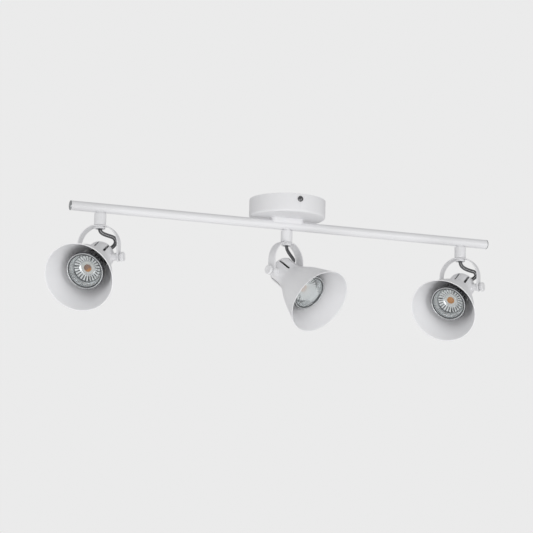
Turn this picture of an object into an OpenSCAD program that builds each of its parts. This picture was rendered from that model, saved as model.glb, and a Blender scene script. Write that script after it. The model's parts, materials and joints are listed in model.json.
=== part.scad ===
// Three-head ceiling spotlight bar, modelled in millimetres.
// The origin is on the ceiling plane, on the axis of the round canopy.
// +X runs along the bar, +Z points up into the ceiling, the lamps hang below.

/* [Canopy and bar] */
// outside diameter of the round canopy
canopy_d = 104; // [94:1:120]
// height of the canopy from ceiling to its floor
canopy_h = 25; // [24:0.5:27]
// length of the round bar without its end caps
bar_len = 600; // [560:2:720]
// outside diameter of the bar tube
bar_d = 12.7; // [12:0.1:13]
// distance between neighbouring lamp stems
head_pitch = 260; // [210:2:265]

/* [Stems and bows] */
// diameter of each stem barrel
stem_d = 15.8; // [14:0.2:18]
// length of each stem barrel
stem_len = 15.7; // [14:0.1:20]
// width of the flat strip that each bow is bent from
bow_strip = 13; // [12:0.5:15]
// thickness of the bow strip
bow_t = 1.6; // [1.2:0.1:2]
// outside width of each bow
bow_w = 56.5; // [55.5:0.5:60]

/* [Lamp heads] */
// outside radius of the shade at its mouth
mouth_r = 45.7; // [44.5:0.1:47]
// wall of the shade
shade_t = 1.2; // [1:0.1:1.5]
// pan angle of the left head, from the front towards the right
left_pan = -33.5; // [-90:0.5:90]
// tilt of the left head from straight down
left_tilt = 60.5; // [0:0.5:90]
// pan angle of the centre head
centre_pan = 27; // [-90:0.5:90]
// tilt of the centre head from straight down
centre_tilt = 55; // [0:0.5:90]
// pan angle of the right head
right_pan = -45.5; // [-90:0.5:90]
// tilt of the right head from straight down
right_tilt = 57.5; // [0:0.5:90]

/* [Node] */
// which node to build, or all of them

/* [Hidden] */
$fn = 96;
canopy_r = canopy_d / 2;
bar_r = bar_d / 2;
bar_z = -(canopy_h + 3.45 + bar_r);
stem_top = bar_z - bar_r - 1.1;
stem_bot = stem_top - stem_len;
bow_top = stem_bot - 0.2;
bow_r = bow_w / 2;
arc_z = bow_top - (bow_r - 1);
pivot_z = arc_z - 15;
HEADS = ["left", "centre", "right"];
head_x = [-head_pitch, 0, head_pitch];
pans = [left_pan, centre_pan, right_pan];
tilts = [left_tilt, centre_tilt, right_tilt];
white = [0.93, 0.93, 0.92];
chrome = [0.75, 0.76, 0.78];
steel = [0.62, 0.63, 0.65];
dark = [0.16, 0.16, 0.17];
cream = [0.86, 0.84, 0.78];

// ---- placing helpers --------------------------------------------------
module along_x(x0, x1, r, y = 0, z = 0) {
  translate([x0, y, z]) rotate([0, 90, 0]) cylinder(h = x1 - x0, r = r);
}
module along_z(z0, z1, r, x = 0, y = 0) {
  translate([x, y, z0]) cylinder(h = z1 - z0, r = r);
}
// bow frame: stem axis is Z, the tilt axis is parallel to X
module in_bow(i) { translate([head_x[i], 0, 0]) rotate([0, 0, pans[i]]) children(); }
// head frame: origin on the tilt axis, mouth towards -Z
module in_head(i) { in_bow(i) translate([0, 0, pivot_z]) rotate([-tilts[i], 0, 0]) children(); }
// side screw frame: X points out of the canopy through the screw
module at_screw(k) { rotate([0, 0, -90 + 180 * k]) children(); }

// ---- ceiling plate and canopy -----------------------------------------
module mounting_plate() color(steel) {
  difference() {
    union() {
      along_z(-1.6, 0, canopy_r - 4);
      for (k = [0, 1]) at_screw(k) translate([canopy_r - 6.6, -7, -13]) cube([1.6, 14, 12]);
    }
    along_z(-2, 1, 11);
    for (s = [-1, 1]) translate([0, 30 * s, -2]) {
      translate([-2.25, -5, 0]) cube([4.5, 10, 3]);
      for (e = [-1, 1]) translate([0, 5 * e, 0]) cylinder(h = 3, r = 2.25);
    }
    for (k = [0, 1]) at_screw(k) along_x(canopy_r - 9, canopy_r - 3, 2.05, 0, -7.7);
    for (a = [55, 235]) rotate([0, 0, a]) translate([34, 0, -2]) cylinder(h = 3, r = 2.5);
  }
}

module canopy_profile() {
  r = canopy_r; h = canopy_h; t = 1.2;
  polygon([
    [r, -0.3], [r, -h + 2.6], [r - 0.12, -h + 1.85], [r - 0.5, -h + 1.15], [r - 1.1, -h + 0.5],
    [r - 1.8, -h + 0.12], [r - 2.6, -h], [5.1, -h], [5.1, -h + t], [r - 2.8, -h + t],
    [r - 1.9, -h + t + 0.4], [r - 1.35, -h + t + 1], [r - t, -h + t + 1.8], [r - t, -0.3]
  ]);
}
module canopy() color(white) {
  difference() {
    rotate_extrude() canopy_profile();
    for (k = [0, 1]) at_screw(k) along_x(canopy_r - 4, canopy_r + 2, 2.3, 0, -7.7);
  }
}
module canopy_side_screws() color(chrome) {
  for (k = [0, 1]) at_screw(k) translate([0, 0, -7.7]) {
    difference() {
      union() {
        along_x(canopy_r + 0.06, canopy_r + 0.9, 3.9);
        translate([canopy_r + 0.9, 0, 0]) rotate([0, 90, 0]) cylinder(h = 1.2, r1 = 3.9, r2 = 2.7);
      }
      translate([canopy_r + 1, -2.2, -0.45]) cube([2, 4.4, 0.9]);
      translate([canopy_r + 1, -0.45, -2.2]) cube([2, 0.9, 4.4]);
    }
    along_x(canopy_r - 9.5, canopy_r + 0.1, 1.98);
  }
}
module terminal_block() color(cream) {
  difference() {
    union() {
      translate([18, -17, -11.6]) cube([15, 34, 9.8]);
      for (k = [-1, 0, 1]) translate([20.4, 10.6 * k - 4.2, -15]) cube([10.2, 8.4, 3.6]);
      translate([17.4, -2.4, -3.4]) cube([1, 4.8, 1.8]);
    }
    for (k = [-1, 0, 1]) {
      along_z(-16, -8.4, 2.0, 25.5, 10.6 * k);
      along_x(17, 34, 1.7, 10.6 * k, -7);
    }
  }
}
module terminal_screws() color([0.78, 0.66, 0.35]) {
  for (k = [-1, 0, 1]) difference() {
    along_z(-14, -8.9, 1.9, 25.5, 10.6 * k);
    translate([23, 10.6 * k - 0.3, -14.5]) cube([5, 0.6, 1.3]);
  }
}

// ---- bar and its fixing ------------------------------------------------
module bar_nipple() color(steel) difference() {
  along_z(bar_z + 1.2, -canopy_h + 8, 4.8);
  along_z(bar_z, -canopy_h + 9, 3.6);
}
module bar_nipple_nut() color(steel) difference() {
  union() {
    translate([0, 0, -canopy_h + 2.3]) cylinder(h = 4, r = 8.1, $fn = 6);
    along_z(-canopy_h + 1.2, -canopy_h + 2.3, 9);
  }
  along_z(-canopy_h, -canopy_h + 8, 4.85);
}
module bar_saddle() color(white) difference() {
  union() {
    translate([-17, -6.4, bar_z + 2.6]) cube([34, 12.8, -canopy_h - bar_z - 2.6]);
    for (s = [-1, 1]) along_z(bar_z + 2.6, -canopy_h, 6.4, 17 * s);
  }
  along_x(-40, 40, bar_r, 0, bar_z);
  along_z(bar_z - 1, 0, 4.85);
}
module bar_tube() color(white) difference() {
  along_x(-bar_len / 2, bar_len / 2, bar_r, 0, bar_z);
  along_x(-bar_len, bar_len, bar_r - 1.2, 0, bar_z);
  along_z(bar_z, 0, 4.85);
  for (x = head_x) along_z(bar_z - 20, bar_z, 4, x);
}
module bar_end_caps() color(chrome) {
  for (s = [0, 1]) mirror([s, 0, 0]) translate([bar_len / 2, 0, bar_z]) rotate([0, 90, 0])
    rotate_extrude() polygon([
      [0, -9], [bar_r - 1.45, -9], [bar_r - 1.25, -8.2], [bar_r - 1.25, 0], [bar_r + 0.25, 0],
      [bar_r + 0.25, 0.9], [bar_r - 0.1, 1.3], [bar_r - 1, 1.6], [bar_r - 3, 1.95], [0, 2.1]
    ]);
}
module internal_leads() color(dark) {
  for (s = [-1, 1]) {
    y = 1.7 * s;
    along_x(-head_pitch, head_pitch, 1.2, y, bar_z);
    for (x = head_x) {
      translate([x, y, bar_z]) sphere(r = 1.4);
      along_z(stem_bot + 7, bar_z, 1.1, x, y);
    }
    along_z(bar_z, -10.2, 1.1, 0, y);
    translate([0, y, -10.2]) sphere(r = 1.4);
    // fans out to its own terminal
    translate([0, y, -10.2]) rotate([0, 90, atan2(8.9 * s, 11)]) cylinder(h = norm([11, 8.9]), r = 1.15);
    translate([11, 10.6 * s, -10.2]) sphere(r = 1.4);
    translate([11, 10.6 * s, -10.2]) rotate([0, 90 - atan2(3.2, 4), 0]) cylinder(h = norm([4, 3.2]), r = 1.1);
    translate([15, 10.6 * s, -7]) sphere(r = 1.4);
    along_x(15, 23, 1.15, 10.6 * s, -7);
  }
}

// ---- stems and swivel hardware -----------------------------------------
module stems() color(white) {
  for (x = head_x) difference() {
    union() {
      along_z(stem_top - 0.2, bar_z - 2.2, 5.25, x);
      translate([x, 0, 0]) rotate_extrude() polygon([
        [0, stem_top], [stem_d / 2 - 0.5, stem_top], [stem_d / 2, stem_top - 0.5],
        [stem_d / 2, stem_bot + 0.6], [stem_d / 2 - 0.6, stem_bot], [0, stem_bot]
      ]);
    }
    along_x(x - 20, x + 20, bar_r, 0, bar_z);
    along_z(stem_bot - 1, bar_z, 3.9, x);
    along_z(stem_bot - 1, stem_bot + 9.5, 4.85, x);
  }
}
module swivel_nipples() color(steel) {
  for (x = head_x) difference() {
    along_z(bow_top - 5, stem_bot + 9.4, 4.8, x);
    along_z(bow_top - 8, stem_bot + 10, 3.5, x);
  }
}
module swivel_washers() color(white) {
  for (x = head_x) difference() {
    along_z(bow_top - bow_t - 0.9, bow_top - bow_t - 0.1, 6.6, x);
    along_z(bow_top - 6, bow_top, 4.85, x);
  }
}
module swivel_nuts() color(white) {
  for (x = head_x) difference() {
    translate([x, 0, bow_top - bow_t - 3.1]) cylinder(h = 2.1, r = 7.4, $fn = 6);
    along_z(bow_top - 8, bow_top, 4.85, x);
  }
}

// ---- bow ---------------------------------------------------------------
module bow_solid(r) {
  // arch and two legs, as wide as the strip
  w = bow_strip;
  intersection() {
    union() {
      translate([0, w / 2, arc_z]) rotate([90, 0, 0]) cylinder(h = w, r = r);
      translate([-r, -w / 2, pivot_z]) cube([2 * r, w, arc_z - pivot_z]);
    }
    translate([-40, -20, pivot_z - 2]) cube([80, 40, arc_z + r - 1 - pivot_z + 2]);
  }
}
module bow(i) color(white) in_bow(i) {
  difference() {
    union() {
      bow_solid(bow_r);
      along_x(-bow_r, bow_r, bow_strip / 2, 0, pivot_z);
    }
    translate([0, 25, arc_z]) intersection() {
      rotate([90, 0, 0]) cylinder(h = 50, r = bow_r - bow_t);
      translate([-40, -60, 0]) cube([80, 80, bow_r - 1 - bow_t]);
    }
    translate([-bow_r + bow_t, -25, pivot_z - 20]) cube([bow_w - 2 * bow_t, 50, arc_z - pivot_z + 20]);
    along_z(bow_top - 5, bow_top + 5, 4.9);
    along_x(-40, 40, 2.05, 0, pivot_z);
  }
}

// ---- head --------------------------------------------------------------
mouth_z = -78;
rear_z = 11;
// radius of the shade against distance behind its mouth
SHADE = [
  [-8, mouth_r + 3.3], [0, mouth_r], [8, 42.6], [16, 39.6], [24, 36.8], [32, 33.9], [40, 30.5],
  [48, 26.6], [56, 22.3], [62, 19.95], [68, 18.95], [74, 18.8]
];
function cr(a, b, c, d, t) =
  0.5 * ((2 * b) + (c - a) * t + (2 * a - 5 * b + 4 * c - d) * t * t + (3 * b - a - 3 * c + d) * t * t * t);
shade_curve = [for (i = [1 : len(SHADE) - 3]) for (k = [0 : 2])
  cr(SHADE[i - 1], SHADE[i], SHADE[i + 1], SHADE[i + 2], k / 3)];
outer_side = concat([for (p = shade_curve) [p[1], mouth_z + p[0]]], [[18.8, mouth_z + 68.5]]);
hr = 18.8;
rear_outer = [[hr, rear_z - 3], [hr - 0.3, rear_z - 1.8], [hr - 1, rear_z - 0.85], [hr - 1.9, rear_z - 0.25], [hr - 3, rear_z], [5, rear_z]];
rear_inner = [[5, rear_z - shade_t], [hr - 3.2, rear_z - shade_t], [hr - 2.2, rear_z - shade_t - 0.5], [hr - 1.5, rear_z - shade_t - 1.2], [hr - shade_t, rear_z - shade_t - 2.2]];
inner_side = [for (i = [len(outer_side) - 1 : -1 : 1]) [outer_side[i][0] - shade_t, outer_side[i][1]]];
module shade_shell() rotate_extrude() polygon(concat(
  outer_side, rear_outer, rear_inner, inner_side,
  [[mouth_r - shade_t - 0.1, mouth_z + 0.5], [mouth_r - shade_t + 0.35, mouth_z - 0.1], [mouth_r - 0.35, mouth_z - 0.2]]));
module shade(i) color(white) in_head(i) difference() {
  shade_shell();
  along_x(-30, 30, 3.05);
  for (a = [45, 90, 135, 225, 270, 315]) rotate([0, 0, a]) {
    translate([10, -1.45, -13.5]) cube([15, 2.9, 20.7]);
    for (z = [-13.5, 7.2]) along_x(10, 25, 1.45, 0, z);
  }
}
module rear_bushing(i) color(dark) in_head(i) difference() {
  union() {
    along_z(rear_z - shade_t, rear_z + 0.05, 4.95);
    along_z(rear_z, rear_z + 1.5, 6.6);
    along_z(rear_z - shade_t - 1.2, rear_z - shade_t, 6.2);
  }
  along_z(rear_z - 6, rear_z + 4, 3.7);
}
module holder_spacer(i) color(steel) in_head(i) difference() {
  union() {
    along_z(6.5, rear_z - shade_t, 10.5);
    translate([-14, -3, 6.5]) cube([28, 6, 1]);
  }
  along_z(5, rear_z, 8);
}
module lamp_holder(i) color(cream) in_head(i) difference() {
  union() {
    along_z(-8.8, 3.6, 13.4);
    along_z(3.6, 6.5, 11.2);
  }
  // bayonet slots for the two lamp pins
  for (h = [0, 180]) rotate([0, 0, h]) {
    for (a = [0, 20]) rotate([0, 0, a]) along_z(-10, -0.8, 2.6, 5);
    translate([0, 0, -10]) rotate_extrude(angle = 20) translate([2.4, 0]) square([5.2, 9.2]);
  }
  along_z(3, 8, 3.8);
}
module pivot_bosses(i) color(white) in_head(i) {
  for (s = [0, 1]) mirror([s, 0, 0]) difference() {
    union() {
      difference() {
        along_x(15, bow_r - bow_t - 0.3, 5);
        along_z(-20, 20, hr);
      }
      along_x(15.2, 19.6, 2.98);
    }
    along_x(10, 40, 2.05);
  }
}
module thumbscrew_shape() {
  x = bow_r + 0.3;
  difference() {
    union() {
      along_x(20, x, 1.98);
      along_x(x, x + 2.6, 3.2);
      translate([x + 2.6, 0, 0]) rotate([0, 90, 0]) rotate_extrude() polygon([
        [0, -0.1], [5.6, -0.1], [6.3, 0.5], [6.3, 3.4], [5.7, 4], [0, 4.1]
      ]);
    }
    for (a = [0 : 24 : 359]) rotate([a, 0, 0]) along_x(x + 2, x + 8, 0.6, 6.55, 0);
  }
}
module thumbscrew_outer(i) color(white) in_head(i) thumbscrew_shape();
module thumbscrew_inner(i) color(white) in_head(i) mirror([1, 0, 0]) thumbscrew_shape();

// ---- twin sleeved leads --------------------------------------------------
// Each pair leaves the nipple, swings out beside the bow, bends at a corner and turns back into the rear bushing.
// hand-set corner of each pair in its bow frame: place, heading in, heading out, corner reach, three handle lengths
TURN = [
  [[18.6, 11.5, 26], [0.75, 0.45, -0.42], [-0.02, 0.15, -1], 3.6, 7, 6, 8],
  [[21.5, 4, 18.8], [0.7, 0.1, -0.7], [-0.15, 0.85, -0.5], 4.2, 7, 5, 6],
  [[18.6, 14, 23.6], [0.8, 0.5, -0.22], [-0.02, 0.15, -1], 3.6, 9, 7, 7]
];
function behind(i, d) = [0, sin(tilts[i]) * d, cos(tilts[i]) * d];
function bez(a, b, c, d, t) =
  pow(1 - t, 3) * a + 3 * t * pow(1 - t, 2) * b + 3 * t * t * (1 - t) * c + pow(t, 3) * d;
function route(i) = let (
  q = TURN[i], u = unit(q[1]), v = unit(q[2]), a = q[0] - u * q[3], b = q[0] + v * q[3], s = [0.5, 0, 37])
  concat(
    [[0.5, 0, 46], [0.5, 0, 41.5]],
    [for (k = [0 : 8]) bez(s, s - [0, 0, q[4]], a - u * q[5], a, k / 9)],
    [for (k = [0 : 4]) bez(a, a + u * q[3] * 0.55, b - v * q[3] * 0.55, b, k / 5)],
    [for (k = [0 : 8]) bez(b, b + v * q[6], behind(i, 25), behind(i, 12.5), k / 9)],
    [behind(i, 12.5), behind(i, 8.6)]);
function unit(v) = v / norm(v);
module sleeve(pts, side, r) {
  n = len(pts); m = 10;
  tang = [for (i = [0 : n - 1]) unit(pts[min(i + 1, n - 1)] - pts[max(i - 1, 0)])];
  xs = [for (t = tang) unit([-t[2], 0, t[0]])];
  ys = [for (i = [0 : n - 1]) cross(tang[i], xs[i])];
  rings = [for (i = [0 : n - 1]) for (k = [0 : m - 1])
    pts[i] + side * xs[i] + r * (cos(360 * k / m) * xs[i] + sin(360 * k / m) * ys[i])];
  polyhedron(points = rings, faces = concat(
    [[for (k = [0 : m - 1]) k]],
    [for (i = [0 : n - 2]) for (k = [0 : m - 1]) [i * m + k, (i + 1) * m + k, (i + 1) * m + (k + 1) % m]],
    [for (i = [0 : n - 2]) for (k = [0 : m - 1]) [i * m + k, (i + 1) * m + (k + 1) % m, i * m + (k + 1) % m]],
    [[for (k = [m - 1 : -1 : 0]) (n - 1) * m + k]]));
}
module leads(i) color(dark) in_bow(i) translate([0, 0, pivot_z])
  for (s = [-1, 1]) sleeve(route(i), 1.4 * s, 1.25);

// ---- reflector lamp --------------------------------------------------------
module bulb_body(i) color([0.8, 0.8, 0.8]) in_head(i) rotate_extrude() polygon([
  [9.7, -14.2], [12.6, -14.2], [13.6, -15.2], [14.2, -20], [16.2, -27], [19.2, -36], [22, -44.5], [23.6, -50],
  [24.2, -51.9], [22.4, -51.9], [21.7, -50], [19, -46.2], [14.5, -43.6], [9, -42.4], [9, -16]
]);
module bulb_rim(i) color(chrome) in_head(i) rotate_extrude() polygon([
  [22.5, -52], [24.6, -52], [25, -52.6], [25, -54.4], [24.5, -55.1], [23.2, -55.3], [22.5, -54.9]
]);
module bulb_lens(i) color([0.85, 0.88, 0.9, 0.35]) in_head(i) rotate_extrude() polygon([
  [0, -52.2], [22.2, -52.2], [22.2, -54.5], [18, -54.9], [9, -54.9], [8, -53.9], [0, -53.7]
]);
module bulb_led(i) color([0.95, 0.62, 0.12]) in_head(i) {
  along_z(-42.2, -41.4, 8.9);
  along_z(-43.1, -42.1, 7);
}
module bulb_base(i) color(cream) in_head(i) {
  difference() {
    union() {
      along_z(-13.9, -9, 9.6);
      along_z(-26.8, -13.8, 8.9);
    }
    along_z(-30, -15, 7);
  }
  for (s = [-1, 1]) {
    along_z(-9.1, -4.2, 1.5, 5 * s);
    along_z(-4.3, -1.6, 2.35, 5 * s);
  }
}

mounting_plate();
canopy();
canopy_side_screws();
terminal_block();
terminal_screws();
bar_nipple();
bar_nipple_nut();
bar_saddle();
bar_tube();
bar_end_caps();
internal_leads();
stems();
swivel_nipples();
swivel_washers();
swivel_nuts();
bow(0);  // left_bow
leads(0);  // left_leads
shade(0);  // left_shade
rear_bushing(0);  // left_rear_bushing
lamp_holder(0);  // left_lamp_holder
holder_spacer(0);  // left_holder_spacer
pivot_bosses(0);  // left_pivot_bosses
thumbscrew_inner(0);  // left_thumbscrew_inner
thumbscrew_outer(0);  // left_thumbscrew_outer
bulb_body(0);  // left_bulb_body
bulb_rim(0);  // left_bulb_rim
bulb_lens(0);  // left_bulb_lens
bulb_led(0);  // left_bulb_led
bulb_base(0);  // left_bulb_base
bow(1);  // centre_bow
leads(1);  // centre_leads
shade(1);  // centre_shade
rear_bushing(1);  // centre_rear_bushing
lamp_holder(1);  // centre_lamp_holder
holder_spacer(1);  // centre_holder_spacer
pivot_bosses(1);  // centre_pivot_bosses
thumbscrew_inner(1);  // centre_thumbscrew_inner
thumbscrew_outer(1);  // centre_thumbscrew_outer
bulb_body(1);  // centre_bulb_body
bulb_rim(1);  // centre_bulb_rim
bulb_lens(1);  // centre_bulb_lens
bulb_led(1);  // centre_bulb_led
bulb_base(1);  // centre_bulb_base
bow(2);  // right_bow
leads(2);  // right_leads
shade(2);  // right_shade
rear_bushing(2);  // right_rear_bushing
lamp_holder(2);  // right_lamp_holder
holder_spacer(2);  // right_holder_spacer
pivot_bosses(2);  // right_pivot_bosses
thumbscrew_inner(2);  // right_thumbscrew_inner
thumbscrew_outer(2);  // right_thumbscrew_outer
bulb_body(2);  // right_bulb_body
bulb_rim(2);  // right_bulb_rim
bulb_lens(2);  // right_bulb_lens
bulb_led(2);  // right_bulb_led
bulb_base(2);  // right_bulb_base
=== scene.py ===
import bpy
import bmesh
import json
import math
import random
from mathutils import Matrix, Vector
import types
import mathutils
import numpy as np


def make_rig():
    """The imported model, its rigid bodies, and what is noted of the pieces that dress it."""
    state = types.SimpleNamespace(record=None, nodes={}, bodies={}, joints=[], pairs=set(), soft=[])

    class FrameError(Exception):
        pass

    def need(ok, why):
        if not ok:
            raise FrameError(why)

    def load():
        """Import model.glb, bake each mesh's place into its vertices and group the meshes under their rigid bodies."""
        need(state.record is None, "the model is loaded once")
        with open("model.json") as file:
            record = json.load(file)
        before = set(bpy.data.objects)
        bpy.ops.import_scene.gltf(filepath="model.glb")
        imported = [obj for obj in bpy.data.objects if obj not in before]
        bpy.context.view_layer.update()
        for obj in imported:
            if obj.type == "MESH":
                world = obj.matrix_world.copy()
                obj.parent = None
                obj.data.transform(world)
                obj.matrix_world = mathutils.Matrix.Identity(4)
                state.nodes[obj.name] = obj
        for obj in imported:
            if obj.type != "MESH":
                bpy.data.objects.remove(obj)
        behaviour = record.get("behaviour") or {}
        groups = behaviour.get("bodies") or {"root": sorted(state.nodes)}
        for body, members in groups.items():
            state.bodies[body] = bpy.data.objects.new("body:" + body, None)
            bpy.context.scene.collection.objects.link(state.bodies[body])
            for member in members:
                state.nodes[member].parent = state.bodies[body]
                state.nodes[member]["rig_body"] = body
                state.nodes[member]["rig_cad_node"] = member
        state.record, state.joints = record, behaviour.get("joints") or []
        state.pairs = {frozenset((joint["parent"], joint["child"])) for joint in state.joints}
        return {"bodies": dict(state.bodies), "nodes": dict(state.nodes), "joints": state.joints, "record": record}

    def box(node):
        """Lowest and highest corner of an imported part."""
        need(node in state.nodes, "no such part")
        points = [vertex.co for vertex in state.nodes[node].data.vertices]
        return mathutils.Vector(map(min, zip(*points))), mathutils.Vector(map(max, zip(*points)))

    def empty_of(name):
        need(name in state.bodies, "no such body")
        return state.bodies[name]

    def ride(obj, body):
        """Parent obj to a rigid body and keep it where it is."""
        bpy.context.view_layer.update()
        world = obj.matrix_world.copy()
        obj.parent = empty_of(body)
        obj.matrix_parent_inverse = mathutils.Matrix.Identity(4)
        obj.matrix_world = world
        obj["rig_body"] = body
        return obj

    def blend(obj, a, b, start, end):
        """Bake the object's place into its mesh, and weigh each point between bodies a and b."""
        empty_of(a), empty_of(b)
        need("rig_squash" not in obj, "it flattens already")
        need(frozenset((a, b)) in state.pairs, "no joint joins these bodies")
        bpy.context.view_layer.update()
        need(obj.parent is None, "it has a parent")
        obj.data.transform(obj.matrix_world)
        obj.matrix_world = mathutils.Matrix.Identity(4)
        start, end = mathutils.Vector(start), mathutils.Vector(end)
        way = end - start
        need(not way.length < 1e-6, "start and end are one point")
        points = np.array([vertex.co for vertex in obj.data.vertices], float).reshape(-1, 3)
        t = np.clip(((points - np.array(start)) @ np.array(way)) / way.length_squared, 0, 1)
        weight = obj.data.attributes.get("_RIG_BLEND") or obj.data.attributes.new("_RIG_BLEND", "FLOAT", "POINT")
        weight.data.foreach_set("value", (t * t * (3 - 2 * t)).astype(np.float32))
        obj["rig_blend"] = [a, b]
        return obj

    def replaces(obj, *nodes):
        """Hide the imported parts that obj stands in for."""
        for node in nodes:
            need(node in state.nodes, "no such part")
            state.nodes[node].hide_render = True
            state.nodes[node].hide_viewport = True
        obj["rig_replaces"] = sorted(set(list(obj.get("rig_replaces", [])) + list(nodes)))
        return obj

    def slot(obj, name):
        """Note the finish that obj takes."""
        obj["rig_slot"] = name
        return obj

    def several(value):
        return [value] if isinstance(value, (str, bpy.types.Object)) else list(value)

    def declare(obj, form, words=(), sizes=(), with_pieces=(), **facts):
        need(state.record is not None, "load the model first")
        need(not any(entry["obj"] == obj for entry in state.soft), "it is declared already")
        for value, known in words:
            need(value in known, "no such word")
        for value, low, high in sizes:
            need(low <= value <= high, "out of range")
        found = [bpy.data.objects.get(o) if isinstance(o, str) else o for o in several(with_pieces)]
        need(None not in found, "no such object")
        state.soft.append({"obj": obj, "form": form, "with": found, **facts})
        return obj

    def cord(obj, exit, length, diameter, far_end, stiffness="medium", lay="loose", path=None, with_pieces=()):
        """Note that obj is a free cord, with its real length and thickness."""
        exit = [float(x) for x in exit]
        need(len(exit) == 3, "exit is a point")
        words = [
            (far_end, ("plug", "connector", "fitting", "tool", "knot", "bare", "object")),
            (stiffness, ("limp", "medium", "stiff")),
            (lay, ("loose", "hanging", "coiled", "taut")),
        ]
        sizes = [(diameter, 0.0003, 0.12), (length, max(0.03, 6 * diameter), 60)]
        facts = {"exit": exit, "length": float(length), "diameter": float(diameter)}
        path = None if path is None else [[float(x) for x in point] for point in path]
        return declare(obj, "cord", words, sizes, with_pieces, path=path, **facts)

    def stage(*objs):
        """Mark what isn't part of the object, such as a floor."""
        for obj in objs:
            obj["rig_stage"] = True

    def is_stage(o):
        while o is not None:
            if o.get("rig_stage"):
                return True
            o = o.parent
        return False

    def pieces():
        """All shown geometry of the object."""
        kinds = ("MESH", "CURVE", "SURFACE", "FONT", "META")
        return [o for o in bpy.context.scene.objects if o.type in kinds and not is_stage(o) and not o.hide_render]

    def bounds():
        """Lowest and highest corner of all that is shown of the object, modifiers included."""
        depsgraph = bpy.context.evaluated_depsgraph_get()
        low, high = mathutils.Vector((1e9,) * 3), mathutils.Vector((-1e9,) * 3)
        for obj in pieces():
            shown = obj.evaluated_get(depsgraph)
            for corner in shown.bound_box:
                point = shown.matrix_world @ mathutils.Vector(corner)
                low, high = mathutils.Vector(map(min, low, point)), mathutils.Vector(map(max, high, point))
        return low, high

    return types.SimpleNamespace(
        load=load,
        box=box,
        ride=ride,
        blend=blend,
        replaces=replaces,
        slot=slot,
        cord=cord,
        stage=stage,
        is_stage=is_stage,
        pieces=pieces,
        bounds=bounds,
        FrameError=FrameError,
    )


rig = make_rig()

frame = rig.load()
CAD_LOW, CAD_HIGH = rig.bounds()
scene = bpy.context.scene
MM = 0.001
TAU = 2 * math.pi
random.seed(7)
bodies = frame["bodies"]
nodes = frame["nodes"]
joints = {j["name"]: j for j in frame["joints"]}
HEADS = ("left", "centre", "right")

# ---------------------------------------------------------------- camera
F_PX, SIDE = 1684.26, 533.0
YAW, PITCH, ROLL = 0.3258, 0.1756, 0.0272
PLACE = Vector((-0.74567, -2.12517, -0.4916))
cam_data = bpy.data.cameras.new("camera")
cam_data.sensor_width = 36.0
cam_data.lens = F_PX / SIDE * 36.0
cam_data.clip_start, cam_data.clip_end = 0.05, 60.0
camera = bpy.data.objects.new("camera", cam_data)
scene.collection.objects.link(camera)
scene.camera = camera
look = Vector((math.sin(YAW) * math.cos(PITCH), math.cos(YAW) * math.cos(PITCH), math.sin(PITCH)))
right = Vector((math.cos(YAW), -math.sin(YAW), 0.0))
up = right.cross(look)
r2 = math.cos(ROLL) * right + math.sin(ROLL) * up
u2 = -math.sin(ROLL) * right + math.cos(ROLL) * up
m = Matrix((r2, u2, -look)).transposed().to_4x4()
m.translation = PLACE
camera.matrix_world = m
scene.view_settings.view_transform = "Standard"
scene.view_settings.look = "None"


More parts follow.
